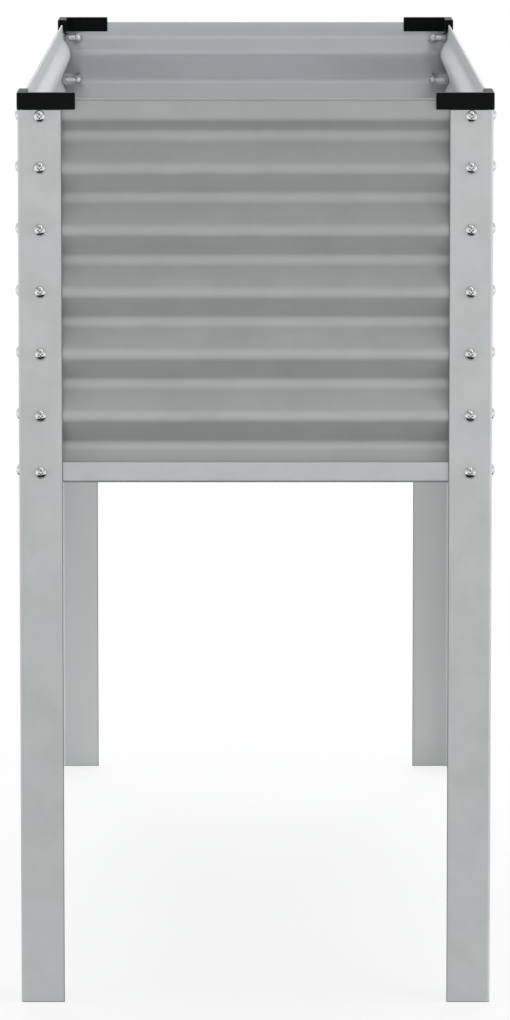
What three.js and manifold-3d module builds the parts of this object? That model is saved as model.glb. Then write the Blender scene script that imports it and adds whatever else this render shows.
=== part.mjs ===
// A raised planter: a tray of corrugated galvanised sheet, bolted between four angle-iron legs.
// Millimetres, +Z up. The origin is on the ground under the middle, +X is right and +Y is the rear.
import * as THREE from "three";
import { mergeVertices } from "three/addons/utils/BufferGeometryUtils.js";
import Module from "manifold-3d";

// Frame
const width = 398.5; // across the outer faces of the legs
const length = 998.5; // along the outer faces of the legs
const trayHeight = 446.8; // ground to the underside of the rails
const fit = 0.3; // between pieces that touch

// Legs: equal angles of folded sheet
const legFlange = 36.8;
const legSheet = 1.2;
const legBend = 1.4; // inside radius of the fold

// Rails: angles under the panels, with a shelf that points inwards
const railHeight = 17.3;
const railShelf = 17.3;
const railSheet = 1.2;

// Panels: horizontal waves between a flat rim band and a flat foot band
const panelSheet = 0.6;
const rimBand = 16.5;
const rimSetback = 2; // rim band behind the crests
const rimSlope = 15.5; // from the rim band down to the first groove
const wavePitch = 52.4;
const waveRadius = 15; // of the bends at the crests and in the grooves
const flankAngle = 24.5; // degrees between the flat flanks of a wave and the vertical
const crests = 5;
const footBand = 2.9;
const hemWidth = 1.8; // the top edge is rolled outwards
const hemHeight = 1.9;

// Floor: two sheets that meet over one cross bar
const floorSheet = 0.6;
const floorHem = 10; // width of the folded edge that stands on the rails
const drainHole = 10;
const drainColumns = 3;
const drainRows = 4;
const barWidth = 40;
const barDepth = 16;
const barSheet = 1.2;

// Corner caps: plastic channels pushed over the rims
const capReach = 49; // outer corner to the end of each arm
const capWidth = 7.9;
const capHeight = 14.3;
const capRoof = 4.7;
const capWall = 1.7;
const capProud = 0.8; // beyond the leg
const capRound = 1.2;
const capCorner = 2.4; // outside radius where the two arms meet

// Bolts
const shankRadius = 2.4;
const headRadius = 5.2;
const headHeight = 3.1;
const headRim = 0.8; // straight edge under the dome
const tipChamfer = 0.6;
const nutAcross = 8; // across flats
const nutThickness = 4;
const rimBoltDrop = 5.4; // below the top of the leg

// Fineness of the round shapes
const bendSteps = 4; // flats in each bend of a wave
const holeSides = 8;
const headSides = 10;
const domeSteps = 2;

// Worked out from the sizes above
const crestDepth = legSheet + fit; // outer face of a crest, behind the outer face of the leg
const railDepth = legSheet + fit;
const footSetback = railSheet + fit;
const panelBottom = trayHeight + railSheet + fit;
const flank = wavePitch / 2; // height of a flank, between a crest and a groove
const flankSlope = Math.tan((flankAngle * Math.PI) / 180);
const flankSine = Math.sin((flankAngle * Math.PI) / 180);
const bendCut = (waveRadius * flankSlope * flankSine) / 2; // from the corner of two flanks to the bend
const waveDepth = flank * flankSlope - 2 * bendCut;
const panelHeight = rimBand + rimSlope + (2 * crests + 1) * flank + footBand;
const panelTop = panelBottom + panelHeight;
const capTop = panelTop + fit + capRoof;
const legHeight = capTop - capHeight - fit;
const boltInset = legFlange / 2;
const boltLength = boltInset - shankRadius; // stops short of the bolt through the other flange
const firstCrest = panelTop - rimBand - rimSlope - flank;
const trayDepth = crestDepth + footSetback + panelSheet + fit; // outer face of the leg to the floor's edge
const floorBottom = panelBottom + barSheet + fit;

// Bolt heights, from the top: one in the rim, one in each crest and one in the rail
const boltLevels = [legHeight - rimBoltDrop];
for (let i = 0; i < crests; i++) {
  boltLevels.push(firstCrest - i * wavePitch);
}
boltLevels.push(trayHeight + railHeight / 2);

const sheetSteel = { color: 0xb0b4b5, roughness: 0.42, metalness: 0.85 };
const finishes = {
  leg: new THREE.MeshStandardMaterial(sheetSteel),
  rail: new THREE.MeshStandardMaterial({ ...sheetSteel, color: 0xb1b5b6 }),
  panel: new THREE.MeshStandardMaterial({ ...sheetSteel, color: 0x9ea2a3 }),
  floor: new THREE.MeshStandardMaterial({ ...sheetSteel, color: 0xa4a8a9 }),
  cap: new THREE.MeshStandardMaterial({ color: 0x141517, roughness: 0.35, metalness: 0 }),
  bolt: new THREE.MeshStandardMaterial({ color: 0xc9cccd, roughness: 0.25, metalness: 1 }),
};

const wasm = await Module();
wasm.setup();

// A closed three.js geometry as a solid that can be joined and cut.
function solid(geometry) {
  const bare = geometry.clone();
  bare.deleteAttribute("normal");
  bare.deleteAttribute("uv");
  const merged = mergeVertices(bare, 1e-4);
  const triVerts = new Uint32Array(merged.index.array);
  const vertProperties = merged.attributes.position.array;
  return new wasm.Manifold(new wasm.Mesh({ numProp: 3, vertProperties, triVerts }));
}

function join(solids) {
  return solids.reduce((whole, piece) => whole.add(piece));
}

function cut(whole, cutters) {
  return cutters.reduce((rest, cutter) => rest.subtract(cutter), whole);
}

function named(name, shape, finish) {
  const { numProp, vertProperties, triVerts } = shape.getMesh();
  const geometry = new THREE.BufferGeometry();
  geometry.setAttribute("position", new THREE.BufferAttribute(vertProperties, numProp));
  geometry.setIndex(new THREE.BufferAttribute(triVerts, 1));
  geometry.computeVertexNormals();
  const mesh = new THREE.Mesh(geometry, finish);
  mesh.name = name;
  return mesh;
}

function box(x0, x1, y0, y1, z0, z1) {
  const geometry = new THREE.BoxGeometry(x1 - x0, y1 - y0, z1 - z0);
  geometry.translate((x0 + x1) / 2, (y0 + y1) / 2, (z0 + z1) / 2);
  return solid(geometry);
}

function points(pairs) {
  return pairs.map(([x, y]) => new THREE.Vector2(x, y));
}

// A solid turned about the Y axis from a profile of [radius, y] points.
function turned(profile, flats) {
  return solid(new THREE.LatheGeometry(points(profile), flats));
}

// A clearance hole through the sheet near y = 0, or turned about Z, through the sheet near x = 0.
function boltHole(along, z, turn = 0) {
  const reach = 4 * waveDepth;
  const cutter = new THREE.CylinderGeometry(shankRadius + fit, shankRadius + fit, reach, holeSides);
  cutter.translate(along, 0, z);
  cutter.rotateZ(turn);
  return solid(cutter);
}

// A leg in its corner's own frame: the outer corner at the origin, the flanges along +X and +Y.
function legShape() {
  const outer = legBend + legSheet;
  const section = new THREE.Shape();
  section.moveTo(legFlange, 0);
  section.lineTo(legFlange, legSheet);
  section.lineTo(outer, legSheet);
  section.absarc(outer, outer, legBend, -Math.PI / 2, -Math.PI, true);
  section.lineTo(legSheet, legFlange);
  section.lineTo(0, legFlange);
  section.lineTo(0, outer);
  section.absarc(outer, outer, outer, -Math.PI, -Math.PI / 2, false);
  const settings = { depth: legHeight, bevelEnabled: false, curveSegments: 4 };
  const angle = solid(new THREE.ExtrudeGeometry(section, settings));
  const turns = [0, Math.PI / 2];
  return cut(angle, turns.flatMap((turn) => boltLevels.map((z) => boltHole(boltInset, z, turn))));
}

// A line through corners, each one rounded as far as its two neighbours allow.
function rounded(corners, radius) {
  const line = [corners[0]];
  for (let i = 1; i < corners.length - 1; i++) {
    const corner = corners[i];
    const back = corners[i - 1].clone().sub(corner);
    const ahead = corners[i + 1].clone().sub(corner);
    const turn = Math.PI - back.angleTo(ahead);
    const reach = Math.min(radius * Math.tan(turn / 2), back.length() / 2, ahead.length() / 2);
    const start = back.setLength(reach).add(corner);
    const end = ahead.setLength(reach).add(corner);
    line.push(...new THREE.QuadraticBezierCurve(start, corner, end).getPoints(bendSteps));
  }
  return [...line, corners.at(-1)];
}

// The places of a panel's outer face from its top edge down, as [drop, setback behind the crests].
function waveLine() {
  const corners = [[0, rimSetback], [rimBand, rimSetback]];
  for (let i = 0; i <= 2 * crests; i++) {
    corners.push([rimBand + rimSlope + i * flank, i % 2 === 0 ? waveDepth + bendCut : -bendCut]);
  }
  corners.push([panelHeight - footBand, footSetback], [panelHeight, footSetback]);
  return rounded(points(corners), waveRadius).map(({ x, y }) => [x, y]);
}
const wave = waveLine();

// How far a panel's outer face lies behind the crests at a height.
function setbackAt(z) {
  const drop = panelTop - z;
  const next = wave.findIndex(([there]) => there >= drop);
  const [lowDrop, lowSetback] = wave[next - 1];
  const [highDrop, highSetback] = wave[next];
  const share = (drop - lowDrop) / (highDrop - lowDrop);
  return lowSetback + (highSetback - lowSetback) * share;
}

// A straight piece of the frame: a section of [depth, z] points, extruded along X and mitred at both
// ends, so that at each depth it stops where the piece round the corner begins, clear of the leg's fold.
function mitred(section, span) {
  const geometry = new THREE.ExtrudeGeometry(new THREE.Shape(points(section)), {
    depth: 1,
    bevelEnabled: false,
  });
  const place = geometry.attributes.position;
  for (let i = 0; i < place.count; i++) {
    const depth = place.getX(i);
    const z = place.getY(i);
    const end = place.getZ(i) > 0.5 ? 1 : -1;
    const shortening = Math.max(depth + fit / 2, legSheet + legBend);
    place.setXYZ(i, end * (span / 2 - shortening), depth, z);
  }
  return solid(geometry);
}

function panelShape(span) {
  const outer = wave.map(([drop, setback]) => [crestDepth + setback, panelTop - drop]);
  const inner = outer.map(([depth, z]) => [depth + panelSheet, z]).reverse();
  const rimDepth = crestDepth + rimSetback;
  const hemFace = rimDepth + panelSheet - hemWidth;
  const hem = [
    [hemFace, panelTop],
    [hemFace, panelTop - hemHeight],
    [rimDepth, panelTop - hemHeight],
  ];
  const sheet = mitred([...hem, ...outer.slice(1), ...inner], span);
  const holes = boltLevels.flatMap((z) => [-1, 1].map((end) => boltHole(end * (span / 2 - boltInset), z)));
  return cut(sheet, holes);
}

function railShape(span) {
  const face = railDepth;
  const section = [
    [face, trayHeight],
    [face + railShelf, trayHeight],
    [face + railShelf, trayHeight + railSheet],
    [face + railSheet, trayHeight + railSheet],
    [face + railSheet, trayHeight + railHeight],
    [face, trayHeight + railHeight],
  ];
  const z = boltLevels.at(-1);
  const holes = [-1, 1].map((end) => boltHole(end * (span / 2 - boltInset), z));
  return cut(mitred(section, span), holes);
}

// An inverted channel between the side rails, with tabs that lie on their shelves.
function crossBarShape() {
  const tabEnd = width / 2 - trayDepth;
  const channelEnd = width / 2 - railDepth - railShelf - fit;
  const half = barWidth / 2;
  const top = panelBottom + barSheet;
  return join([
    box(-tabEnd, tabEnd, -half, half, panelBottom, top),
    box(-channelEnd, channelEnd, -half, barSheet - half, top - barDepth, top),
    box(-channelEnd, channelEnd, half - barSheet, half, top - barDepth, top),
  ]);
}

// The rear floor sheet. Its folded edge stands on the rails, and its front edge lies on the cross bar.
function floorShape() {
  const side = width / 2 - trayDepth;
  const front = fit / 2;
  const rear = length / 2 - trayDepth;
  const hemFront = barWidth / 2 + fit;
  const top = floorBottom + floorSheet;
  const sheet = join([
    box(-side, side, front, rear, floorBottom, top),
    box(-side, floorHem - side, hemFront, rear, panelBottom, top),
    box(side - floorHem, side, hemFront, rear, panelBottom, top),
    box(-side, side, rear - floorHem, rear, panelBottom, top),
  ]);
  const holes = [];
  for (let column = 0; column < drainColumns; column++) {
    for (let row = 0; row < drainRows; row++) {
      const x = -side + ((2 * column + 1) * side) / drainColumns;
      const y = hemFront + ((row + 0.5) * (rear - hemFront)) / drainRows;
      const cutter = new THREE.CylinderGeometry(drainHole / 2, drainHole / 2, 4 * floorSheet, holeSides);
      cutter.rotateX(Math.PI / 2);
      cutter.translate(x, y, floorBottom + floorSheet / 2);
      holes.push(solid(cutter));
    }
  }
  return cut(sheet, holes);
}

// A cap in its corner's own frame: two arms along +X and +Y, with one slot for both rims.
function capShape() {
  const inset = capRound;
  const near = inset - capProud;
  const far = capReach - capProud - inset;
  const inner = capWidth - capProud - inset;
  const plan = new THREE.Shape();
  plan.moveTo(far, near);
  plan.lineTo(far, inner);
  plan.lineTo(inner, inner);
  plan.lineTo(inner, far);
  plan.lineTo(near, far);
  plan.lineTo(near, near + capCorner - inset);
  plan.absarc(near + capCorner - inset, near + capCorner - inset, capCorner - inset, Math.PI, 1.5 * Math.PI, false);
  const body = new THREE.ExtrudeGeometry(plan, {
    depth: capHeight - 2 * capRound,
    bevelThickness: capRound,
    bevelSize: capRound,
    bevelSegments: 2,
    curveSegments: 3,
  });
  body.translate(0, 0, capTop - capHeight + capRound);
  const slotNear = capWall - capProud;
  const slotFar = capWidth - capWall - capProud;
  const below = capTop - 2 * capHeight;
  const roof = capTop - capRoof;
  return cut(solid(body), [
    box(slotNear, 2 * capReach, slotNear, slotFar, below, roof),
    box(slotNear, slotFar, slotNear, 2 * capReach, below, roof),
  ]);
}

// A bolt along +Y with its nut run on. Its head lies on a sheet whose face is y = 0.
function boltShape(z) {
  const seat = -fit;
  const dome = [];
  const domeHeight = headHeight - headRim;
  for (let i = 0; i <= domeSteps; i++) {
    const angle = (i * Math.PI) / 2 / domeSteps;
    dome.push([headRadius * Math.sin(angle), seat - headRim - domeHeight * Math.cos(angle)]);
  }
  const head = [...dome, [headRadius, seat], [0, seat]];
  const tip = seat + boltLength;
  const shank = [
    [0, seat - headRim],
    [shankRadius, seat - headRim],
    [shankRadius, tip - tipChamfer],
    [shankRadius - tipChamfer, tip],
    [0, tip],
  ];
  const edges = [z - nutAcross / 2, z, z + nutAcross / 2];
  const nutSeat = crestDepth + Math.max(...edges.map(setbackAt)) + panelSheet + fit;
  const nutRadius = nutAcross / 2 / Math.cos(Math.PI / 6);
  const nut = new THREE.CylinderGeometry(nutRadius, nutRadius, nutThickness, 6);
  nut.rotateY(Math.PI / 6);
  nut.translate(0, nutSeat + nutThickness / 2, 0);
  return join([turned(head, headSides), turned(shank, holeSides), solid(nut)]);
}

const group = new THREE.Group();
group.name = "raised_planter";

// The four sides, each in a frame whose +X runs along it and whose +Y points into the tray
const sides = [
  { end: "end", name: "front", span: width, turn: 0, at: [0, -length / 2] },
  { end: "side", name: "right", span: length, turn: 1, at: [width / 2, 0] },
  { end: "end", name: "rear", span: width, turn: 2, at: [0, length / 2] },
  { end: "side", name: "left", span: length, turn: 3, at: [-width / 2, 0] },
];
for (const { end, name, span, turn, at } of sides) {
  const side = new THREE.Group();
  side.position.set(at[0], at[1], 0);
  side.rotation.z = (turn * Math.PI) / 2;
  side.add(named(`${end}_panel_${name}`, panelShape(span), finishes.panel));
  side.add(named(`${end}_rail_${name}`, railShape(span), finishes.rail));
  group.add(side);
}

// The four corners, each in a frame whose origin is the outer corner of its leg. The flange along +X
// is on the end of the planter at the front left and rear right corners, and on its side at the others.
const corners = [
  { name: "front_left", turn: 0, at: [-width / 2, -length / 2] },
  { name: "front_right", turn: 1, at: [width / 2, -length / 2] },
  { name: "rear_right", turn: 2, at: [width / 2, length / 2] },
  { name: "rear_left", turn: 3, at: [-width / 2, length / 2] },
];
const lowest = boltLevels.length - 1;
const sideLevels = [0, Math.round(lowest / 2), lowest]; // the bolts that are modelled on the long sides
for (const { name, turn, at } of corners) {
  const corner = new THREE.Group();
  corner.position.set(at[0], at[1], 0);
  corner.rotation.z = (turn * Math.PI) / 2;
  corner.add(named(`leg_${name}`, legShape(), finishes.leg));
  corner.add(named(`corner_cap_${name}`, capShape(), finishes.cap));
  boltLevels.forEach((z, level) => {
    for (const flange of [0, 1]) {
      const onEnd = (turn + flange) % 2 === 0;
      if (!onEnd && !sideLevels.includes(level)) continue;
      const label = `${onEnd ? "end" : "side"}_bolt_${name}_${level + 1}`;
      const bolt = named(label, boltShape(z), finishes.bolt);
      bolt.position.set(flange ? 0 : boltInset, flange ? boltInset : 0, z);
      bolt.rotation.z = (-flange * Math.PI) / 2;
      corner.add(bolt);
    }
  });
  group.add(corner);
}

// The floor, under the soil
group.add(named("cross_bar", crossBarShape(), finishes.rail));
for (const [name, turn] of [["front", 1], ["rear", 0]]) {
  const sheet = named(`floor_sheet_${name}`, floorShape(), finishes.floor);
  sheet.rotation.z = turn * Math.PI;
  group.add(sheet);
}

export default group;
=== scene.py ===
import math
import random

import bmesh
import bpy
from mathutils import Matrix, Vector


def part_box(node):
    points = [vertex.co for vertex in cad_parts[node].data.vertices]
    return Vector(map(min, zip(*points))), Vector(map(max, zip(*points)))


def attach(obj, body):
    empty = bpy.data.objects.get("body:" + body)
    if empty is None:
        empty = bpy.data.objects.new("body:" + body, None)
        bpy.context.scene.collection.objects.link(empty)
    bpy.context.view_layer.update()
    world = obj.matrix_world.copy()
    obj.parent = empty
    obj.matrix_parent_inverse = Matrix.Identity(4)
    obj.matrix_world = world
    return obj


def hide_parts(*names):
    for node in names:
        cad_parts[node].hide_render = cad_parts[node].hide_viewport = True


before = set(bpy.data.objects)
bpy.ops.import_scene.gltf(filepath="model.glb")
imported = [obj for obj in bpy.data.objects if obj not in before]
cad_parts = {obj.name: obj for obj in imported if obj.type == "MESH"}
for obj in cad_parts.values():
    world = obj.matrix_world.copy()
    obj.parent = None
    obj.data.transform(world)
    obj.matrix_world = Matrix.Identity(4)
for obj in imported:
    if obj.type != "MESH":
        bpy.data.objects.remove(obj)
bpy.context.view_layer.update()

chance = random.Random(7)
mm = 0.001
quarter = math.pi / 2


# Places, read from the frame

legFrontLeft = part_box("leg_front_left")
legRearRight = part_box("leg_rear_right")
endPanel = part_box("end_panel_front")
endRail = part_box("end_rail_front")
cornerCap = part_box("corner_cap_front_left")
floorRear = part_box("floor_sheet_rear")
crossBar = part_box("cross_bar")

halfWidth = legRearRight[1].x
halfLength = legRearRight[1].y
legHeight = legFrontLeft[1].z
legFlange = legFrontLeft[1].x - legFrontLeft[0].x
panelBottom, panelTop = endPanel[0].z, endPanel[1].z
railBottom, railTop = endRail[0].z, endRail[1].z
capTop = cornerCap[1].z

cornerTurns = {"front_left": 0, "front_right": 1, "rear_right": 2, "rear_left": 3}
sideTurns = {"front": 0, "right": 1, "rear": 2, "left": 3}
levels = range(1, 8)  # bolts in each flange, from the top


def turned(angle):
    return Matrix.Rotation(angle, 4, "Z")


# A corner's frame: the outer corner of the leg at the origin, the flanges along +X and +Y
def cornerFrame(turn):
    x = halfWidth if turn in (1, 2) else -halfWidth
    y = halfLength if turn in (2, 3) else -halfLength
    return Matrix.Translation((x, y, 0)) @ turned(turn * quarter)


# A side's frame: +X along the side, +Y into the tray, the legs' outer face at y = 0
def sideFrame(turn):
    reach = halfLength if turn % 2 == 0 else halfWidth
    return turned(turn * quarter) @ Matrix.Translation((0, -reach, 0))


def sideSpan(turn):
    return 2 * (halfWidth if turn % 2 == 0 else halfLength)


# Mesh tools

mergeWithin = 0.002 * mm  # points nearer than this become one


def newPiece(name, vertices, faces):
    mesh = bpy.data.meshes.new(name)
    mesh.from_pydata(vertices, [], faces)
    piece = bpy.data.objects.new(name, mesh)
    bpy.context.scene.collection.objects.link(piece)
    return piece


# Faces outwards, smooth except where two faces meet at more than the sharp angle
def dress(piece, sharp=35):
    shape = bmesh.new()
    shape.from_mesh(piece.data)
    bmesh.ops.remove_doubles(shape, verts=shape.verts, dist=mergeWithin)
    bmesh.ops.recalc_face_normals(shape, faces=shape.faces)
    for face in shape.faces:
        face.smooth = True
    for edge in shape.edges:
        edge.smooth = edge.calc_face_angle(0) < math.radians(sharp)
    shape.to_mesh(piece.data)
    shape.free()
    return piece


# The piece's modifiers become its mesh
def settle(piece):
    graph = bpy.context.evaluated_depsgraph_get()
    mesh = bpy.data.meshes.new_from_object(piece.evaluated_get(graph))
    piece.modifiers.clear()
    old = piece.data
    piece.data = mesh
    bpy.data.meshes.remove(old)
    return piece


def combine(piece, other, operation):
    change = piece.modifiers.new("combine", "BOOLEAN")
    change.operation = operation
    change.solver = "EXACT"
    change.object = other
    settle(piece)
    bpy.data.objects.remove(other)
    return piece


def softenEdges(piece, width, steps=2, angle=40):
    bevel = piece.modifiers.new("edges", "BEVEL")
    bevel.width = width
    bevel.segments = steps
    bevel.limit_method = "ANGLE"
    bevel.angle_limit = math.radians(angle)
    bevel.use_clamp_overlap = True
    return settle(piece)


# Flat faces keep flat shading up to their soft edges
def weighNormals(piece):
    weigh = piece.modifiers.new("normals", "WEIGHTED_NORMAL")
    weigh.keep_sharp = True
    return settle(piece)


# An open line through corner points, with each corner rounded to the radius
def bent(corners, radius, steps):
    points = [Vector(corner) for corner in corners]
    line = [points[0]]
    for before, corner, after in zip(points, points[1:], points[2:]):
        back = (before - corner).normalized()
        ahead = (after - corner).normalized()
        half = back.angle(ahead) / 2
        centre = corner + (back + ahead).normalized() * radius / math.sin(half)
        reach = radius / math.tan(half)
        start = (corner + back * reach - centre).normalized()
        end = (corner + ahead * reach - centre).normalized()
        line += [centre + start.slerp(end, i / steps) * radius for i in range(steps + 1)]
    return line + [points[-1]]


# The two faces of a sheet whose middle follows a line
def thickened(line, sheet):
    faces = ([], [])
    for i, point in enumerate(line):
        run = (line[min(i + 1, len(line) - 1)] - line[max(i - 1, 0)]).normalized()
        across = Vector((-run.y, run.x)) * sheet / 2
        faces[0].append(point + across)
        faces[1].append(point - across)
    return faces


# A folded sheet: its section is swept through the stations, and place() turns a section point
# and a station from 0 to 1 into a place
def foldedSheet(name, line, sheet, stations, place):
    faces = thickened(line, sheet)
    count = len(line)
    shares = [i / stations for i in range(stations + 1)]
    vertices = [place(point, share) for share in shares for side in faces for point in side]
    ring = 2 * count

    def at(station, side, i):
        return station * ring + side * count + i

    quads = []
    for s in range(stations):
        for i in range(count - 1):
            for side in (0, 1):
                near = [at(s, side, i), at(s, side, i + 1)]
                quads.append(near + [at(s + 1, side, i + 1), at(s + 1, side, i)])
        for i in (0, count - 1):
            quads.append([at(s, 0, i), at(s, 1, i), at(s + 1, 1, i), at(s + 1, 0, i)])
    for s in (0, stations):
        for i in range(count - 1):
            quads.append([at(s, 0, i), at(s, 0, i + 1), at(s, 1, i + 1), at(s, 1, i)])
    return newPiece(name, vertices, quads)


# Rods about the local Y axis of each placement, as one piece
def rods(name, placements, radius, length, sides=32):
    vertices, faces = [], []
    for placement in placements:
        first = len(vertices)
        for end in (-1, 1):
            for i in range(sides):
                angle = 2 * math.pi * i / sides
                x, z = radius * math.cos(angle), radius * math.sin(angle)
                vertices.append(placement @ Vector((x, end * length / 2, z)))
        for i in range(sides):
            j = (i + 1) % sides
            faces.append([first + i, first + j, first + sides + j, first + sides + i])
        faces.append([first + i for i in range(sides)])
        faces.append([first + sides + i for i in range(sides)])
    return dress(newPiece(name, vertices, faces))


def block(name, low, high):
    xs, ys, zs = zip(low, high)
    corners = [(x, y, z) for x in xs for y in ys for z in zs]
    sides = [(0, 1, 3, 2), (4, 6, 7, 5), (0, 4, 5, 1), (2, 3, 7, 6), (0, 2, 6, 4), (1, 5, 7, 3)]
    return dress(newPiece(name, corners, sides))


# A shape turned about the Y axis. ringAt(r, angle) gives the radius and the Y of ring r
def turnedShape(name, rings, sides, ringAt, closed=False):
    vertices, faces = [], []
    for r in range(rings):
        for s in range(sides):
            angle = 2 * math.pi * s / sides
            radius, y = ringAt(r, angle)
            vertices.append(Vector((radius * math.sin(angle), y, radius * math.cos(angle))))
    for r in range(rings if closed else rings - 1):
        for s in range(sides):
            here, there = r * sides, ((r + 1) % rings) * sides
            faces.append([here + s, here + (s + 1) % sides, there + (s + 1) % sides, there + s])
    if not closed:
        faces.append(list(range(sides)))
        faces.append(list(range((rings - 1) * sides, rings * sides)))
    return newPiece(name, vertices, faces)


def ready(piece, material, slot, *nodes):
    piece.data.materials.clear()
    piece.data.materials.append(material)
    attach(piece, "root")
    if nodes:
        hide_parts(*nodes)
    return piece


# Shader tools


# A screen colour as linear light
def tone(red, green, blue):
    channels = [value / 255 for value in (red, green, blue)]
    return (*[c / 12.92 if c <= 0.04045 else ((c + 0.055) / 1.055) ** 2.4 for c in channels], 1)


# A shader socket that takes part in arithmetic
class Wire:
    def __init__(self, shader, socket):
        self.shader = shader
        self.socket = socket

    def maths(self, operation, first, second):
        return self.shader.node("ShaderNodeMath", {"operation": operation}, {0: first, 1: second})

    def __add__(self, other):
        return self.maths("ADD", self, other)

    def __sub__(self, other):
        return self.maths("SUBTRACT", self, other)

    def __rsub__(self, other):
        return self.maths("SUBTRACT", other, self)

    def __mul__(self, other):
        return self.maths("MULTIPLY", self, other)

    __radd__ = __add__
    __rmul__ = __mul__


class Shader:
    def __init__(self, owner):
        owner.use_nodes = True
        self.tree = owner.node_tree
        self.tree.nodes.clear()

    # Settings come first, because they decide which sockets a node shows
    def node(self, kind, settings=None, inputs=None, output=None):
        made = self.tree.nodes.new(kind)
        for name, value in (settings or {}).items():
            setattr(made, name, value)
        for key, value in (inputs or {}).items():
            shown = [socket for socket in made.inputs if socket.enabled]
            socket = shown[key] if isinstance(key, int) else next(s for s in shown if s.name == key)
            if isinstance(value, Wire):
                self.tree.links.new(value.socket, socket)
            else:
                socket.default_value = value
        shown = [socket for socket in made.outputs if socket.enabled]
        return Wire(self, next((s for s in shown if output in (None, s.name)), None))

    def place(self):
        return self.node("ShaderNodeTexCoord", output="Object")

    def scaled(self, vector, scale):
        return self.node("ShaderNodeVectorMath", {"operation": "MULTIPLY"}, {0: vector, 1: scale})

    def moved(self, vector, shift):
        return self.node("ShaderNodeVectorMath", {"operation": "ADD"}, {0: vector, 1: shift})

    def part(self, vector, axis):
        return self.node("ShaderNodeSeparateXYZ", None, {"Vector": vector}, axis)

    def size(self, value):
        return self.node("ShaderNodeMath", {"operation": "ABSOLUTE"}, {0: value})

    def least(self, first, second):
        return self.node("ShaderNodeMath", {"operation": "MINIMUM"}, {0: first, 1: second})

    def most(self, first, second):
        return self.node("ShaderNodeMath", {"operation": "MAXIMUM"}, {0: first, 1: second})

    def root(self, value):
        return self.node("ShaderNodeMath", {"operation": "SQRT"}, {0: value})

    def noise(self, vector, size, detail=2.0, roughness=0.5):
        inputs = {"Vector": vector, "Scale": 1 / size, "Detail": detail, "Roughness": roughness}
        return self.node("ShaderNodeTexNoise", None, inputs, "Fac")

    def cells(self, vector, size):
        inputs = {"Vector": vector, "Scale": 1 / size}
        colour = self.node("ShaderNodeTexVoronoi", None, inputs, "Color")
        return self.node("ShaderNodeSeparateColor", None, {"Color": colour}, "Red")

    # From start to end the value rises from 0 to 1 with soft ends
    def rise(self, value, start, end):
        inputs = {"Value": value, "From Min": start, "From Max": end}
        return self.node("ShaderNodeMapRange", {"interpolation_type": "SMOOTHSTEP"}, inputs)

    def blend(self, factor, first, second):
        inputs = {"Factor": factor, "A": first, "B": second}
        return self.node("ShaderNodeMix", {"data_type": "RGBA"}, inputs)

    def bump(self, height, strength, distance):
        inputs = {"Height": height, "Strength": strength, "Distance": distance}
        return self.node("ShaderNodeBump", None, inputs)

    def surface(self, inputs):
        return self.node("ShaderNodeBsdfPrincipled", None, inputs)

    def finish(self, surface, kind="ShaderNodeOutputMaterial"):
        self.node(kind, None, {"Surface": surface})


def newMaterial(name):
    material = bpy.data.materials.new(name)
    return material, Shader(material)


print("tools ready")


# Galvanised steel: a soft spangle, faint tints, painted light on inward faces, and painted shade
# along cut edges

galvanised = {
    "patchSize": 45 * mm,  # weathered patches and tints
    "patchBand": (0.3, 0.7),
    "tintBand": (0.42, 0.68),
    "tintShift": (3.1, 1.7, 0.4),  # moves the tints off the patches
    "spangleSize": 9 * mm,
    "grainSize": 1.1 * mm,
    "waveSize": 27 * mm,  # slow waves in the sheet
    "waviness": 0.6,  # their share in the relief
    "reliefDepth": 0.05 * mm,
    # Painted light: faces that look inwards take a lighter inner tone
    "insideBand": (-0.04, 0.04),  # metres from the planter's axis, along the normal
    "insideLightShare": 0.85,  # of the inner tone on the darkest patches
    # painted shade along cut edges fades out over this distance
    "paintedEdgeShadeBand": (0.5 * mm, 0.9 * mm),
}


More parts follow.
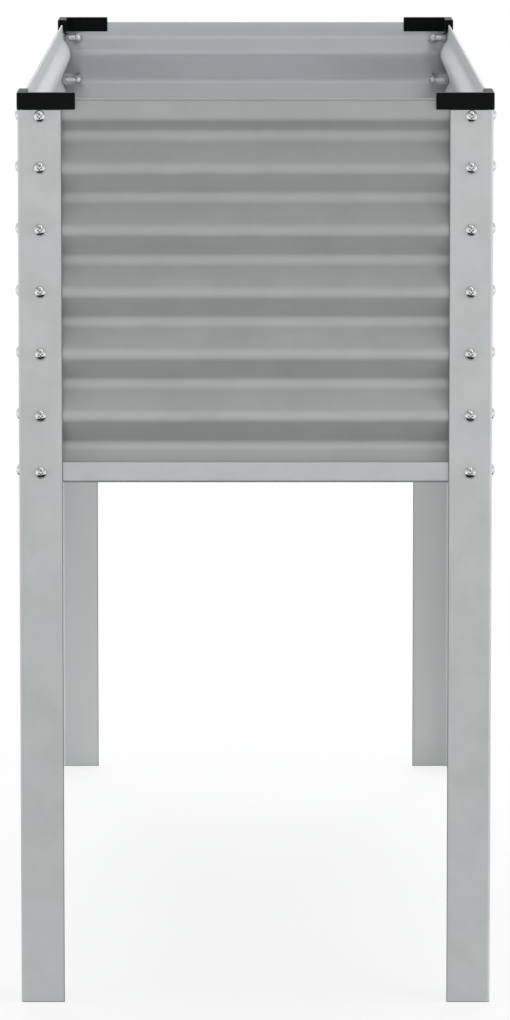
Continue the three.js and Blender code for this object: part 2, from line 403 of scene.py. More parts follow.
# A look holds the light and dark tones of the patches, blotches (their strength), how much lighter
# they are painted towards the foot, per metre (painted light), the tint with its share (tinting),
# the crystals' edge tone with its share (spangle), rough (least, most), metallic, the stretch and
# the relief of the rolled grain, the inner tone and metallic (painted light on inward faces), and
# the cut tone with its share (painted shade along cut edges and undersides)
def galvanisedSteel(name, look, inside=None, cuts=None):
    material, shader = newMaterial(name)
    place = shader.place()
    waves = shader.noise(place, galvanised["waveSize"], detail=1.0)
    spangle = shader.cells(place, galvanised["spangleSize"])
    patches = shader.noise(place, galvanised["patchSize"], roughness=0.6)
    tintPlace = shader.moved(place, galvanised["tintShift"])
    tints = shader.noise(tintPlace, galvanised["patchSize"], detail=1.0, roughness=0.4)
    grainPlace = shader.scaled(place, look["stretch"])
    grain = shader.noise(grainPlace, galvanised["grainSize"], roughness=0.6)
    weatherAndPaintedLight = 0.5 + look["blotches"] * (patches - 0.5)
    # Painted light: the patches are painted lighter towards the foot
    weatherAndPaintedLight = weatherAndPaintedLight + look["paintedFootLight"] * ((panelBottom + panelTop) / 2 - shader.part(place, "Z"))
    pale = shader.rise(weatherAndPaintedLight, *galvanised["patchBand"])
    base = shader.blend(pale, look["dark"], look["light"])
    tinted = shader.rise(tints, *galvanised["tintBand"]) * look["tinting"]
    base = shader.blend(tinted, base, look["tint"])
    base = shader.blend(spangle * look["spangle"], base, look["edge"])
    least, most = look["rough"]
    rough = least + (most - least) * (0.5 * grain + 0.5 * spangle)
    metallic = look["metallic"]
    # Painted light: faces that look inwards are painted in the lighter inner tone and metallic
    if inside:
        inner = inside(shader, place)
        share = galvanised["insideLightShare"]
        base = shader.blend(inner * (share + (1 - share) * patches), base, look["inner"])
        metallic = metallic + (look["innerMetallic"] - metallic) * inner
    # Painted shade: a dark line is painted along cut edges, the legs' feet and the rails'
    # undersides
    if cuts:
        cut = 1 - shader.rise(cuts(shader, place), *galvanised["paintedEdgeShadeBand"])
        base = shader.blend(cut * look["paintedEdgeShadeShare"], base, look["cut"])
    height = grain + galvanised["waviness"] * waves
    relief = shader.bump(height, look["relief"], galvanised["reliefDepth"])
    inputs = {"Base Color": base, "Metallic": metallic, "Roughness": rough, "Normal": relief}
    shader.finish(shader.surface(inputs))
    return material


# 1 on faces that look inwards
def insideFaces(shader, place):
    level = shader.scaled(place, (1.0, 1.0, 0.0))
    normal = shader.node("ShaderNodeNewGeometry", output="Normal")
    product = {"operation": "DOT_PRODUCT"}
    outwards = shader.node("ShaderNodeVectorMath", product, {0: level, 1: normal}, "Value")
    return 1 - shader.rise(outwards, *galvanised["insideBand"])


# The distance to the nearest cut edge of a leg, the foot included, along which shade is painted
def legCuts(shader, place):
    across = shader.size(shader.part(place, "X"))
    along = shader.size(shader.part(place, "Y"))
    toCutX = shader.size(across - (halfWidth - legFlange))
    toCutY = shader.size(along - (halfLength - legFlange))
    return shader.least(shader.part(place, "Z"), shader.least(toCutX, toCutY))


# The height above the underside of a rail, along which shade is painted
def railUnderside(shader, place):
    return shader.part(place, "Z") - railBottom


legSteel = galvanisedSteel(
    "galvanised_leg",
    {
        "light": tone(195, 199, 198),
        "dark": tone(186, 192, 190),
        "tint": tone(195, 193, 198),
        "edge": tone(222, 225, 225),
        "blotches": 0.8,
        "paintedFootLight": 0.0,
        "tinting": 0.6,
        "spangle": 0.10,
        "rough": (0.40, 0.52),
        "metallic": 0.6,
        "stretch": (1.0, 1.0, 0.25),
        "relief": 0.10,
        # painted light on the inward faces
        "inner": tone(194, 199, 198),
        "innerMetallic": 0.3,
        # painted shade along the cut edges and the foot
        "cut": tone(90, 94, 94),
        "paintedEdgeShadeShare": 0.8,
    },
    insideFaces,
    legCuts,
)

railSteel = galvanisedSteel(
    "galvanised_rail",
    {
        "light": tone(192, 197, 197),
        "dark": tone(184, 189, 189),
        "tint": tone(192, 192, 195),
        "edge": tone(224, 227, 227),
        "blotches": 0.8,
        "paintedFootLight": 0.0,
        "tinting": 0.5,
        "spangle": 0.10,
        "rough": (0.40, 0.50),
        "metallic": 0.6,
        "stretch": (1.0, 1.0, 1.0),
        "relief": 0.10,
        # painted shade along the underside
        "cut": tone(92, 96, 96),
        "paintedEdgeShadeShare": 0.9,
    },
    cuts=railUnderside,
)

panelLook = {
    "light": tone(179, 181, 180),
    "dark": tone(166, 168, 167),
    "tint": tone(169, 174, 174),
    "edge": tone(196, 199, 198),
    "blotches": 0.35,
    # painted light, lighter towards the foot
    "paintedFootLight": 1.6,
    "tinting": 0.5,
    "spangle": 0.06,
    "rough": (0.38, 0.46),
    "metallic": 0.6,
    "stretch": (0.2, 0.2, 1.0),
    "relief": 0.06,
}
# Painted light: the panels' inward faces are painted lighter, the end panels' also more like a
# mirror, to stand for light inside the tray
panelInsideLight = {  # the inside of the end panels is brighter and more like a mirror
    "end": {"inner": tone(211, 215, 216), "innerMetallic": 0.9},
    "side": {"inner": tone(194, 198, 199), "innerMetallic": 0.2},
}
panelSteel = {
    kind: galvanisedSteel(f"galvanised_{kind}_panel", panelLook | inside, insideFaces)
    for kind, inside in panelInsideLight.items()
}

floorSteel = galvanisedSteel(
    "galvanised_floor",
    {
        "light": tone(212, 214, 214),
        "dark": tone(204, 206, 207),
        "tint": tone(208, 211, 215),
        "edge": tone(226, 228, 228),
        "blotches": 0.8,
        "paintedFootLight": 0.0,
        "tinting": 0.5,
        "spangle": 0.16,
        "rough": (0.42, 0.54),
        "metallic": 0.15,
        "stretch": (1.0, 0.3, 1.0),
        "relief": 0.08,
    },
)


# Moulded black plastic with a fine texture and faint smears

plastic = {
    "deep": tone(5, 6, 7),
    "smeared": tone(10, 11, 12),
    "textureSize": 0.5 * mm,
    "textureDepth": 0.03 * mm,
    "texture": 0.12,
    "smearSize": 18 * mm,
    "smearBand": (0.35, 0.75),
    "rough": 0.28,
    "smearRough": 0.10,
    "textureRough": 0.05,
    "ior": 1.17,
}


def capPlastic():
    material, shader = newMaterial("moulded_black_plastic")
    place = shader.place()
    texture = shader.noise(place, plastic["textureSize"])
    smears = shader.noise(place, plastic["smearSize"], detail=3.0)
    smeared = shader.rise(smears, *plastic["smearBand"])
    base = shader.blend(smeared, plastic["deep"], plastic["smeared"])
    rough = plastic["rough"] + plastic["smearRough"] * smears + plastic["textureRough"] * texture
    relief = shader.bump(texture, plastic["texture"], plastic["textureDepth"])
    inputs = {"Base Color": base, "Roughness": rough, "IOR": plastic["ior"], "Normal": relief}
    shader.finish(shader.surface(inputs))
    return material


# Zinc plate with faint clouds. The optional mask (shader, place) is 1 where shade is painted in, as
# in a recess

zinc = {
    "cloudSize": 2.5 * mm,
    "cloudBand": (0.35, 0.7),
    "fineSize": 0.25 * mm,
    "fineDepth": 0.02 * mm,
    "relief": 0.08,
    "cloudRough": 0.07,
    "fineRough": 0.03,
    "threadsFrom": (0.2 * mm, 1.0 * mm),  # behind the leg's outer face
    "threadMetallic": 0.35,
    "threadRough": 0.2,  # rougher than the head by this much
    "hollowRough": 0.25,
}


def zincPlate(name, look, paintedShadeMask=None):
    material, shader = newMaterial(name)
    place = shader.place()
    clouds = shader.noise(place, zinc["cloudSize"])
    fine = shader.noise(place, zinc["fineSize"])
    base = shader.blend(shader.rise(clouds, *zinc["cloudBand"]), look["light"], look["dark"])
    rough = look["rough"] + zinc["cloudRough"] * clouds + zinc["fineRough"] * fine
    metallic = 1.0
    if look["threads"]:
        threads = shader.rise(shader.part(place, "Y"), *zinc["threadsFrom"])
        rough = rough + zinc["threadRough"] * threads
        metallic = 1 - (1 - zinc["threadMetallic"]) * threads
    if paintedShadeMask:
        # Painted shade: the colour darkens to the painted shade tone where the mask is 1
        paintedShade = paintedShadeMask(shader, place)
        base = shader.blend(paintedShade, base, look["paintedShadeTone"])
        rough = rough + zinc["hollowRough"] * paintedShade
    relief = shader.bump(fine, zinc["relief"], zinc["fineDepth"])
    inputs = {"Base Color": base, "Metallic": metallic, "Roughness": rough, "Normal": relief}
    shader.finish(shader.surface(inputs))
    return material


blackPlastic = capPlastic()
nutZinc = zincPlate(
    "zinc_nut",
    {"light": tone(196, 199, 200), "dark": tone(178, 181, 182), "rough": 0.26, "threads": False},
)

print("finishes ready")


# Bolts: their sizes, their heights on the legs and the clearance holes

bolt = {
    "shank": 4.8 * mm,
    "hole": 5.4 * mm,
    "inset": legFlange / 2,
    "seatGap": 0.03 * mm,
    "headWidth": 10.4 * mm,
    "headSides": 64,
    "headRim": 0.25 * mm,
    "headMargin": 0.15 * mm,  # between the top of the head and the node's box
    "seatChamfer": (0.2 * mm, 0.15 * mm),  # across and along, under the rim
    "domeStart": math.radians(42),  # angle on a ball at which the dome leaves the rim
    "domeSteps": 12,
    "domeTop": 0.25 * mm,  # radius of the last ring
    "recessSpan": 5.6 * mm,
    "recessWidth": 1.4 * mm,
    "recessDepth": 2.2 * mm,
    "recessFloor": (0.45, 0.76 * mm),  # share of the span, and width, at the bottom
    "recessEdge": 0.12 * mm,
    "pitch": 0.8 * mm,
    "threadDepth": 0.3 * mm,
    "threadFloor": 0.2,  # share of the pitch that the groove's floor takes
    "threadRows": 7,  # rings in each turn of the thread
    "threadSides": 24,
    "chamfer": 0.7 * mm,
    "spin": math.radians(8),  # how far the recesses are out of true
}


def boltHeight(level):
    low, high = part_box(f"end_bolt_front_left_{level}")
    return (low.z + high.z) / 2


boltHeights = {level: boltHeight(level) for level in levels}


# Clearance holes near both ends of a side, at the given levels
def sideHoles(turn, chosen):
    across = sideSpan(turn) / 2 - bolt["inset"]
    return [
        sideFrame(turn) @ Matrix.Translation((end * across, 0, boltHeights[level]))
        for end in (-1, 1)
        for level in chosen
    ]


def drill(piece, holes, radius, length):
    return combine(piece, rods("drill", holes, radius, length), "DIFFERENCE")


# Legs: angles of folded sheet

leg = {
    "sheet": 1.2 * mm,
    "bend": 1.4 * mm,
    "bendSteps": 10,
    "drill": 8 * mm,  # length of the cut for a hole
    "edge": 0.22 * mm,
}


def makeLeg(corner, turn):
    middle = leg["sheet"] / 2
    corners = [(legFlange, middle), (middle, middle), (middle, legFlange)]
    line = bent(corners, leg["bend"] + middle, leg["bendSteps"])
    frameHere = cornerFrame(turn)

    def place(point, share):
        return frameHere @ Vector((point.x, point.y, share * legHeight))

    piece = dress(foldedSheet(f"angle_leg_{corner}", line, leg["sheet"], 1, place))
    holes = []
    for flange in (0, 1):
        for z in boltHeights.values():
            along = Matrix.Translation(((-1) ** flange * bolt["inset"], 0, z))
            holes.append(frameHere @ turned(-flange * quarter) @ along)
    drill(piece, holes, bolt["hole"] / 2, leg["drill"])
    softenEdges(piece, leg["edge"])
    dress(piece)
    weighNormals(piece)
    return ready(piece, legSteel, "leg_steel", f"leg_{corner}")


for corner, turn in cornerTurns.items():
    makeLeg(corner, turn)

print("legs ready")


# Panels: waves between a flat rim band and a flat foot band, with the top edge rolled outwards

panel = {
    "sheet": 0.6 * mm,
    "crestDepth": 1.5 * mm,  # outer face of a crest behind the legs' outer face
    "rimBand": 16.5 * mm,
    "rimSetback": 2.0 * mm,
    "rimSlope": 15.5 * mm,
    "waveRadius": 15.0 * mm,
    "flankAngle": math.radians(24.5),  # between the flat flanks of a wave and the vertical
    "crests": 5,
    "footBand": 2.9 * mm,
    "footSetback": 1.5 * mm,
    "rollWidth": 1.8 * mm,
    "cornerGap": 0.15 * mm,
    "foldClearance": 2.6 * mm,
    "bendSteps": 10,
    "rollStart": math.radians(-100),
    "rollTurn": math.radians(-260),
    "rollSteps": 18,
    "station": 25 * mm,  # between sections along the panel
    "drill": 20 * mm,
    "sharp": 50,  # degrees
}
flank = (panelTop - panelBottom - panel["rimBand"] - panel["rimSlope"] - panel["footBand"]) / (
    2 * panel["crests"] + 1
)
bendCut = panel["waveRadius"] * (1 / math.cos(panel["flankAngle"]) - 1)
waveDepth = flank * math.tan(panel["flankAngle"]) - 2 * bendCut


# The outer face of the sheet from the rim band down, as (depth, z) points in a side's frame
def waveLine(behind=0.0):
    corners = [(0.0, panel["rimSetback"]), (panel["rimBand"], panel["rimSetback"])]
    for i in range(2 * panel["crests"] + 1):
        setback = -bendCut if i % 2 else waveDepth + bendCut
        corners.append((panel["rimBand"] + panel["rimSlope"] + i * flank, setback))
    corners.append((panelTop - panelBottom - panel["footBand"], panel["footSetback"]))
    corners.append((panelTop - panelBottom, panel["footSetback"]))
    places = [
        (panel["crestDepth"] + setback + behind, panelTop - drop) for drop, setback in corners
    ]
    return bent(places, panel["waveRadius"], panel["bendSteps"])


# The depth of the outer face at a height
def waveAt(z):
    line = waveLine()
    above, below = next((a, b) for a, b in zip(line, line[1:]) if b.y <= z)
    return above.x + (below.x - above.x) * (above.y - z) / (above.y - below.y)


# The middle of the sheet in a section of (depth, z) points, from the end of the roll to the foot
def panelLine():
    middle = panel["sheet"] / 2
    radius = panel["rollWidth"] / 2 - middle
    wave = waveLine(middle)
    centre = wave[0] - Vector((radius, middle + radius))
    roll = []
    for i in range(panel["rollSteps"] + 1):
        angle = panel["rollStart"] + panel["rollTurn"] * i / panel["rollSteps"]
        roll.append(centre + radius * Vector((math.cos(angle), math.sin(angle))))
    return roll + wave[1:]


# Along a side, at each depth, as far as the piece round the corner and the fold of the leg allow
def mitredPlace(turn):
    frameHere = sideFrame(turn)

    def place(point, share):
        reach = sideSpan(turn) / 2 - max(point.x + panel["cornerGap"], panel["foldClearance"])
        return frameHere @ Vector((reach * (2 * share - 1), point.x, point.y))

    return place


def sideKind(side):
    return "end" if sideTurns[side] % 2 == 0 else "side"


def makePanel(side):
    kind = sideKind(side)
    turn = sideTurns[side]
    stations = round(sideSpan(turn) / panel["station"])
    name = f"{kind}_sheet_{side}"
    piece = dress(foldedSheet(name, panelLine(), panel["sheet"], stations, mitredPlace(turn)))
    drill(piece, sideHoles(turn, levels), bolt["hole"] / 2, panel["drill"])
    dress(piece, panel["sharp"])
    return ready(piece, panelSteel[kind], "panel_steel", f"{kind}_panel_{side}")


# Rails: angles under the panels, with a shelf that points inwards

rail = {
    "sheet": 1.2 * mm,
    "bend": 1.3 * mm,
    "bendSteps": 10,
    "faceDepth": 1.5 * mm,
    "edge": 0.22 * mm,
    "stations": 8,
    "drill": 20 * mm,
}
railShelf = endRail[1].y - endRail[0].y


def makeRail(side):
    kind = sideKind(side)
    turn = sideTurns[side]
    middle = rail["sheet"] / 2
    face = rail["faceDepth"] + middle
    shelf = railBottom + middle
    corners = [(face, railTop), (face, shelf), (rail["faceDepth"] + railShelf, shelf)]
    line = bent(corners, rail["bend"] + middle, rail["bendSteps"])
    name = f"{kind}_angle_{side}"
    piece = dress(foldedSheet(name, line, rail["sheet"], rail["stations"], mitredPlace(turn)))
    drill(piece, sideHoles(turn, [levels[-1]]), bolt["hole"] / 2, rail["drill"])
    softenEdges(piece, rail["edge"])
    dress(piece)
    weighNormals(piece)
    return ready(piece, railSteel, "rail_steel", f"{kind}_rail_{side}")


for side in sideTurns:
    makePanel(side)
    makeRail(side)

print("panels and rails ready")


# The cross bar: an inverted channel whose ends are tabs that lie on the side rails

bar = {
    "sheet": 1.2 * mm,
    "bend": 1.3 * mm,
    "bendSteps": 8,
    "depth": 16 * mm,
    "tabGap": 0.3 * mm,
    "edge": 0.22 * mm,
}


def makeCrossBar():
    middle = bar["sheet"] / 2
    low, high = crossBar
    flangeBottom = high.z - bar["depth"]
    front, rear, top = low.y + middle, high.y - middle, high.z - middle
    corners = [(front, flangeBottom), (front, top), (rear, top), (rear, flangeBottom)]
    line = bent(corners, bar["bend"] + middle, bar["bendSteps"])

    def place(point, share):
        return Vector((low.x + (high.x - low.x) * share, point.x, point.y))

    piece = dress(foldedSheet("floor_channel", line, bar["sheet"], 1, place))
    tabStart = halfWidth - rail["faceDepth"] - railShelf - bar["tabGap"]
    for end in (-1, 1):
        left, right = sorted((end * tabStart, end * halfWidth))
        notchLow = (left, low.y - mm, low.z - mm)
        notchHigh = (right, high.y + mm, high.z - bar["sheet"])
        combine(piece, block("notch", notchLow, notchHigh), "DIFFERENCE")
    softenEdges(piece, bar["edge"])
    dress(piece)
    weighNormals(piece)
    return ready(piece, railSteel, "rail_steel", "cross_bar")


makeCrossBar()


# The floor: two sheets with hemmed edges that stand on the rails

floor = {
    "sheet": 0.6 * mm,
    "hem": 10 * mm,
    "hemSteps": 10,
    "barGap": 0.3 * mm,  # between the cross bar and the side hems
    "stations": 12,
    "drain": 10 * mm,
    "drainColumns": 3,
    "drainRows": 4,
    "drill": 4 * mm,
    "edge": 0.12 * mm,
}


def makeFloor(name, turn):
    low, high = floorRear
    middle = floor["sheet"] / 2
    top, under = high.z - middle, panelBottom + middle
    radius = (top - under) / 2
    fold = radius + middle
    hemFront = crossBar[1].y + floor["barGap"]
    here = turned(turn * math.pi)

    # From the top of the sheet round its folded edge to the end of the hem
    def hemmed(edge, inward):
        bend = []
        for i in range(floor["hemSteps"] + 1):
            angle = quarter - math.pi * i / floor["hemSteps"]
            reach = edge + inward * (fold - radius * math.cos(angle))
            bend.append(Vector((reach, (top + under) / 2 + radius * math.sin(angle))))
        return bend + [Vector((edge + inward * floor["hem"], under))]

    acrossLine = hemmed(low.x, 1)[::-1] + hemmed(high.x, -1)
    rearLine = [Vector((high.y - 2 * floor["hem"], top))] + hemmed(high.y, -1)

    def alongPlace(point, share):
        y = hemFront + (high.y - floor["hem"] - hemFront) * share
        return here @ Vector((point.x, y, point.y))

    def acrossPlace(point, share):
        x = low.x + fold + (high.x - low.x - 2 * fold) * share
        return here @ Vector((x, point.x, point.y))

    sheet, stations = floor["sheet"], floor["stations"]
    piece = dress(foldedSheet(f"floor_plate_{name}", acrossLine, sheet, stations, alongPlace))
    rearHem = dress(foldedSheet("rear_hem", rearLine, sheet, 1, acrossPlace))
    combine(piece, rearHem, "UNION")
    lipLow = here @ Vector((low.x, low.y, high.z - floor["sheet"]))
    lipHigh = here @ Vector((high.x, hemFront + mm, high.z))
    spans = [sorted(pair) for pair in zip(lipLow, lipHigh)]
    combine(piece, block("lip", *zip(*spans)), "UNION")
    holes = []
    upright = Matrix.Rotation(quarter, 4, "X")
    for column in range(floor["drainColumns"]):
        for row in range(floor["drainRows"]):
            x = high.x * ((2 * column + 1) / floor["drainColumns"] - 1)
            y = hemFront + (row + 0.5) * (high.y - hemFront) / floor["drainRows"]
            holes.append(here @ Matrix.Translation((x, y, high.z)) @ upright)
    drill(piece, holes, floor["drain"] / 2, floor["drill"])
    softenEdges(piece, floor["edge"])
    dress(piece)
    return ready(piece, floorSteel, "floor_steel", f"floor_sheet_{name}")


makeFloor("rear", 0)
makeFloor("front", 1)

print("floor ready")


# Corner caps: channels with two equal arms, pushed over the rims

cap = {
    "proud": 0.8 * mm,
    "width": 7.9 * mm,
    "wall": 1.7 * mm,
    "roof": 4.7 * mm,
    "corner": 2.4 * mm,
    "cornerSteps": 8,
    "round": 0.9 * mm,
    "roundSteps": 4,
    "mouth": 0.3 * mm,
}
capReach = cornerCap[1].x - cornerCap[0].x
capHeight = cornerCap[1].z - cornerCap[0].z


# An upright block with an L-shaped plan between two distances from the corner
def cornerBlock(name, near, inner, far, bottom, top, radius):
    plan = [Vector((far, near)), Vector((near, near)), Vector((near, far))]
    if radius:
        plan = bent(plan, radius, cap["cornerSteps"])
    plan += [Vector((inner, far)), Vector((inner, inner)), Vector((far, inner))]
    count = len(plan)
    vertices = [Vector((point.x, point.y, z)) for z in (bottom, top) for point in plan]
    faces = [[i, (i + 1) % count, count + (i + 1) % count, count + i] for i in range(count)]
    faces += [list(range(count)), list(range(count, 2 * count))]
    return dress(newPiece(name, vertices, faces))


def makeCap(corner, turn):
    near = -cap["proud"]
    inner = cap["width"] - cap["proud"]
    name, bottom = f"rim_cap_{corner}", capTop - capHeight
    piece = cornerBlock(name, near, inner, capReach + near, bottom, capTop, cap["corner"])
    softenEdges(piece, cap["round"], cap["roundSteps"])
    slotNear, slotInner = near + cap["wall"], inner - cap["wall"]
    slotTop = capTop - cap["roof"]
    slot = cornerBlock("slot", slotNear, slotInner, 2 * capReach, bottom - capHeight, slotTop, 0)
    combine(piece, slot, "DIFFERENCE")
    softenEdges(piece, cap["mouth"], angle=60)
    piece.data.transform(cornerFrame(turn))
    dress(piece)
    weighNormals(piece)
    return ready(piece, blackPlastic, "cap_plastic", f"corner_cap_{corner}")


for corner, turn in cornerTurns.items():
    makeCap(corner, turn)

print("caps ready")


# Bolts and nuts, in a frame whose +Y runs through the sheets from the leg's outer face

nut = {
    "across": 8 * mm,
    "thickness": 4 * mm,
    "bore": 4.2 * mm,
    "countersink": (0.45 * mm, 0.4 * mm),  # across and along
    "chamferFrom": 3.75 * mm,  # radius
    "chamferAngle": math.radians(30),
    "seatGap": 0.02 * mm,
    "sides": 48,
    "sharp": 25,  # degrees
}
sampleLow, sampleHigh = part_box("end_bolt_front_left_2")
boltTip = sampleHigh.y + halfLength
headHeight = -halfLength - sampleLow.y - bolt["headMargin"]


# Painted shade in the cross recess: below the dome's surface, between its middle and its ends
recessShade = {
    "depth": (0.15 * mm, 0.7 * mm),
    "bottom": (-0.4 * mm, -0.2 * mm),  # past the recess's floor, where the head is solid
    "middle": (0.01, 0.06),  # the squared share of the head's radius, here and below
    "ends": (0.3, 0.4),
}


def boltRecessPaintedShade(shader, place):
    x, y, z = (shader.part(place, axis) for axis in "XYZ")
    radius = bolt["headWidth"] / 2
    dome = headHeight - bolt["headRim"]
    across = (x * x + z * z) * (1 / radius**2)
    start = bolt["domeStart"]
    lift = shader.root(shader.most(1 - across * math.cos(start) ** 2, 0.0)) - math.sin(start)
    surface = -bolt["seatGap"] - bolt["headRim"] - dome / (1 - math.sin(start)) * lift
    below = shader.rise(y - surface, *recessShade["depth"])
    below = below * (1 - shader.rise(y, *recessShade["bottom"]))
    between = shader.rise(across, *recessShade["middle"])
    between = between * (1 - shader.rise(across, *recessShade["ends"]))
    return below * between


boltZinc = zincPlate(
    "bright_zinc_bolt",
    {
        "light": tone(234, 236, 236),
        "dark": tone(222, 225, 226),
        # painted shade in the cross recess
        "paintedShadeTone": tone(70, 72, 74),
        "rough": 0.05,
        "threads": True,
    },
    boltRecessPaintedShade,
)


# One arm of the cross, wide at its mouth and narrow at its floor
def recessArm(turn):
    half = bolt["recessSpan"] / 2
    floorShare, floorWidth = bolt["recessFloor"]
    mouth = (-mm, half, bolt["recessWidth"] / 2)
    bottom = (bolt["recessDepth"], floorShare * half, floorWidth / 2)
    vertices = []
    for depth, reach, width in (mouth, bottom):
        y = depth - bolt["seatGap"] - headHeight
        for x, z in ((-reach, -width), (reach, -width), (reach, width), (-reach, width)):
            vertices.append(Matrix.Rotation(turn * quarter, 4, "Y") @ Vector((x, y, z)))
    sides = [[i, (i + 1) % 4, 4 + (i + 1) % 4, 4 + i] for i in range(4)]
    return dress(newPiece("recess", vertices, [[0, 1, 2, 3], [4, 5, 6, 7], *sides]))


def makeHead():
    radius = bolt["headWidth"] / 2
    rim = bolt["headRim"]
    seat = -bolt["seatGap"]
    dome = headHeight - rim
    inset, rise = bolt["seatChamfer"]
    rings = [(radius - inset, seat), (radius, seat - rise)]
    start = bolt["domeStart"]
    for i in range(bolt["domeSteps"]):
        angle = start + (quarter - start) * i / bolt["domeSteps"]
        lift = (math.sin(angle) - math.sin(start)) / (1 - math.sin(start))
        rings.append((radius * math.cos(angle) / math.cos(start), seat - rim - dome * lift))
    rings.append((bolt["domeTop"], seat - headHeight))
    head = dress(turnedShape("head", len(rings), bolt["headSides"], lambda r, angle: rings[r]))
    for turn in (0, 1):
        combine(head, recessArm(turn), "DIFFERENCE")
    softenEdges(head, bolt["recessEdge"], angle=45)
    return dress(head, sharp=40)


def makeShank():
    radius = bolt["shank"] / 2
    start, end = -mm, boltTip
    rows = round((end - start) / bolt["pitch"] * bolt["threadRows"])

    # cut is 0 on the thread's crest and 1 in its groove
    def ringAt(row, angle):
        y = start + (end - start) * row / rows
        phase = (y / bolt["pitch"] + angle / (2 * math.pi)) % 1
        cut = min(1, (1 - 2 * abs(phase - 0.5)) / (1 - bolt["threadFloor"]))
        taper = max(0, y - (end - bolt["chamfer"]))
        return radius - bolt["threadDepth"] * cut - taper, y

    return dress(turnedShape("shank", rows + 1, bolt["threadSides"], ringAt), sharp=70)


def makeBoltMesh():
    head = makeHead()
    combine(head, makeShank(), "UNION")
    dress(head, sharp=55)
    mesh = head.data
    bpy.data.objects.remove(head)
    mesh.materials.append(boltZinc)
    return mesh


def makeNutMesh():
    half = nut["thickness"] / 2
    bore = nut["bore"] / 2
    sunkAcross, sunkAlong = nut["countersink"]

    # The closed section at one angle: radius and Y from the bore over the flats and back
    def sectionAt(angle):
        rim = nut["across"] / 2 / math.cos((angle + math.pi / 6) % (math.pi / 3) - math.pi / 6)
        fall = (rim - nut["chamferFrom"]) * math.tan(nut["chamferAngle"])
        return [
            (bore, half - sunkAlong),
            (bore + sunkAcross, half),
            (nut["chamferFrom"], half),
            (rim, half - fall),
            (rim, fall - half),
            (nut["chamferFrom"], -half),
            (bore + sunkAcross, -half),
            (bore, sunkAlong - half),
        ]

    def ringAt(ring, angle):
        return sectionAt(angle)[ring]

    count = len(sectionAt(0))
    piece = dress(turnedShape("nut", count, nut["sides"], ringAt, closed=True), nut["sharp"])
    mesh = piece.data
    bpy.data.objects.remove(piece)
    mesh.materials.append(nutZinc)
    return mesh


boltMesh = makeBoltMesh()
nutMesh = makeNutMesh()


def fasten(name, mesh, placement):
    piece = bpy.data.objects.new(name, mesh)
    bpy.context.scene.collection.objects.link(piece)
    piece.matrix_world = placement
    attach(piece, "root")
    return piece


def nutSeat(z):
    edges = [z - nut["across"] / 2, z, z + nut["across"] / 2]
    return max(waveAt(edge) for edge in edges) + panel["sheet"] + nut["seatGap"]


for corner, turn in cornerTurns.items():
    for flange in (0, 1):
        kind = "end" if (turn + flange) % 2 == 0 else "side"
        for level in levels:
            z = boltHeights[level]
            shift = (0, bolt["inset"], z) if flange else (bolt["inset"], 0, z)
            here = cornerFrame(turn) @ Matrix.Translation(shift) @ turned(-flange * quarter)
            spin = Matrix.Rotation(chance.uniform(-bolt["spin"], bolt["spin"]), 4, "Y")
            label = f"{kind}_{corner}_{level}"
            screw = fasten(f"screw_{label}", boltMesh, here @ spin)
            node = f"{kind}_bolt_{corner}_{level}"
            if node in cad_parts:
                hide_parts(node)
            run = Matrix.Translation((0, nutSeat(z) + nut["thickness"] / 2, 0))
            spin = Matrix.Rotation(chance.uniform(0, math.pi / 3), 4, "Y")
            fasten(f"nut_{label}", nutMesh, here @ run @ spin)

print("bolts and nuts ready")


# The studio: a pale floor, a room bright round the horizon, four softboxes and a small glint lamp

studio = {
    "groundSize": 60.0,
    "groundTone": tone(242, 243, 243),
    "shadeTone": tone(216, 217, 218),  # the floor as the camera sees it, with the planter's shadow
    "shadowShare": 0.2,  # how much of that tone shows near the planter
    "shadowReach": (0.2, 1.2),  # metres from the planter over which it fades to white
}

# Brightness in reflections, and the metres or the heights on a unit ball over which it changes
floorShine = {
    "below": 0.02,  # seen by what faces down, such as the lower part of a bolt's head
    "near": 0.75,
    "far": 1.0,
    "belowEnd": (0.52, 0.6),
    "belowFrom": (0.38, 0.44),  # shorter reflections, such as those near a foot, don't see it
    "nearEnd": (1.2, 1.9),
}
roomShine = {
    "horizon": 0.95,
    "low": 0.72,
    "high": 0.38,
    "overhead": 0.95,
    "lowFrom": (0.1, 0.25),
    "highFrom": (0.45, 0.65),
    "overheadFrom": (0.9, 0.96),
}
roomLight = {  # how strongly the room lights things
    "side": 0.15,
    "overhead": 0.3,
    "overheadFrom": (0.4, 0.9),
}

# Azimuth and elevation in degrees, size and power, at one distance from the planter's middle
lampDistance = 5.0
lampTarget = Vector((0, 0, 0.62))
lamps = {
    "left_softbox": (-75, 10, (5.0, 3.5), 176),
    "right_softbox": (75, 12, (5.0, 3.5), 290),
    "top_softbox": (0, 89.9, (3.5, 3.5), 130),
    "rear_softbox": (180, 50, (3.0, 3.0), 180),
    "glint_lamp": (38, 50, (1.15, 1.15), 12),
}


# 1 for the camera and in reflections, 0 where a surface is lit
def seenOrReflected(shader):
    seen = shader.node("ShaderNodeLightPath", output="Is Camera Ray")
    for name in ("Glossy", "Transmission"):
        path = shader.node("ShaderNodeLightPath", output=f"Is {name} Ray")
        seen = shader.most(seen, path)
    return seen


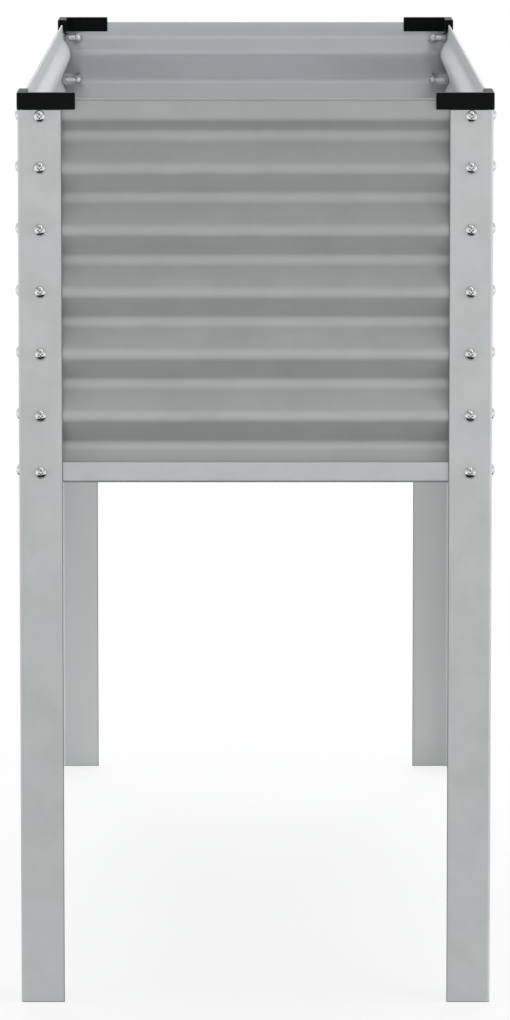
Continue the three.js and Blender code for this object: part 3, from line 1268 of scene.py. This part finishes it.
# White for the camera, with the planter's shadow kept near it, and darker near by in reflections
def makeGround():
    half = studio["groundSize"] / 2
    corners = [(-half, -half, 0), (half, -half, 0), (half, half, 0), (-half, half, 0)]
    ground = newPiece("ground", corners, [(0, 1, 2, 3)])
    material, shader = newMaterial("pale_ground")
    place = shader.place()
    beyond = [
        shader.most(shader.size(shader.part(place, axis)) - reach, 0.0)
        for axis, reach in (("X", halfWidth), ("Y", halfLength))
    ]
    away = shader.root(beyond[0] * beyond[0] + beyond[1] * beyond[1])
    camera = shader.node("ShaderNodeLightPath", output="Is Camera Ray")
    shown = camera * (1 - studio["shadowShare"] * (1 - shader.rise(away, *studio["shadowReach"])))
    distance = shader.node("ShaderNodeLightPath", output="Ray Length")
    near = floorShine["near"]
    shine = near + (floorShine["far"] - near) * shader.rise(away, *floorShine["nearEnd"])
    below = 1 - shader.rise(away, *floorShine["belowEnd"])
    below = below * shader.rise(distance, *floorShine["belowFrom"])
    shine = shine + below * (floorShine["below"] - shine)
    base = shader.blend(camera, studio["groundTone"], studio["shadeTone"])
    plain = shader.node("ShaderNodeBsdfDiffuse", None, {"Color": base})
    white = shader.node("ShaderNodeEmission", None, {"Color": camera + (1 - camera) * shine})
    factor = shown + (1 - camera) * seenOrReflected(shader)
    shader.finish(shader.node("ShaderNodeMixShader", None, {0: factor, 1: plain, 2: white}))
    ground.data.materials.append(material)


def makeRoom():
    world = bpy.data.worlds.new("studio_room")
    bpy.context.scene.world = world
    shader = Shader(world)
    height = shader.part(shader.node("ShaderNodeTexCoord", output="Generated"), "Z")
    shine = roomShine["horizon"]
    for before, here in (("horizon", "low"), ("low", "high"), ("high", "overhead")):
        step = shader.rise(height, *roomShine[f"{here}From"])
        shine = shine + (roomShine[here] - roomShine[before]) * step
    camera = shader.node("ShaderNodeLightPath", output="Is Camera Ray")
    shine = camera + (1 - camera) * shine
    side = roomLight["side"]
    above = shader.rise(height, *roomLight["overheadFrom"])
    lighting = side + (roomLight["overhead"] - side) * above
    brightness = lighting + seenOrReflected(shader) * (shine - lighting)
    light = shader.node("ShaderNodeBackground", None, {"Color": brightness})
    shader.finish(light, "ShaderNodeOutputWorld")


def makeLamp(name, azimuth, elevation, size, power):
    data = bpy.data.lights.new(name, "AREA")
    data.shape = "RECTANGLE"
    data.size, data.size_y = size
    data.energy = power
    lamp = bpy.data.objects.new(name, data)
    bpy.context.scene.collection.objects.link(lamp)
    across, up = math.radians(azimuth), math.radians(elevation)
    level = math.cos(up)
    towards = Vector((math.sin(across) * level, -math.cos(across) * level, math.sin(up)))
    lamp.location = lampTarget + lampDistance * towards
    lamp.rotation_euler = (-towards).to_track_quat("-Z", "Y").to_euler()
    lamp.visible_camera = False
    lamp.visible_glossy = name == "glint_lamp"  # softboxes would leave white patches on the bolts
    return lamp


view = {
    "lens": 189.84,
    "shift": -0.24,
    "place": (-0.0005, -4.9843, 1.1241),
    "down": math.radians(6.27),
    "reach": 200.0,
}


def makeCamera():
    data = bpy.data.cameras.new("camera")
    data.lens = view["lens"]
    data.shift_y = view["shift"]
    data.clip_end = view["reach"]
    camera = bpy.data.objects.new("camera", data)
    bpy.context.scene.collection.objects.link(camera)
    camera.location = view["place"]
    camera.rotation_euler = (quarter - view["down"], 0, 0)
    bpy.context.scene.camera = camera


makeGround()
makeRoom()
for name, settings in lamps.items():
    makeLamp(name, *settings)
makeCamera()
bpy.context.scene.view_settings.view_transform = "Standard"

print("studio ready")
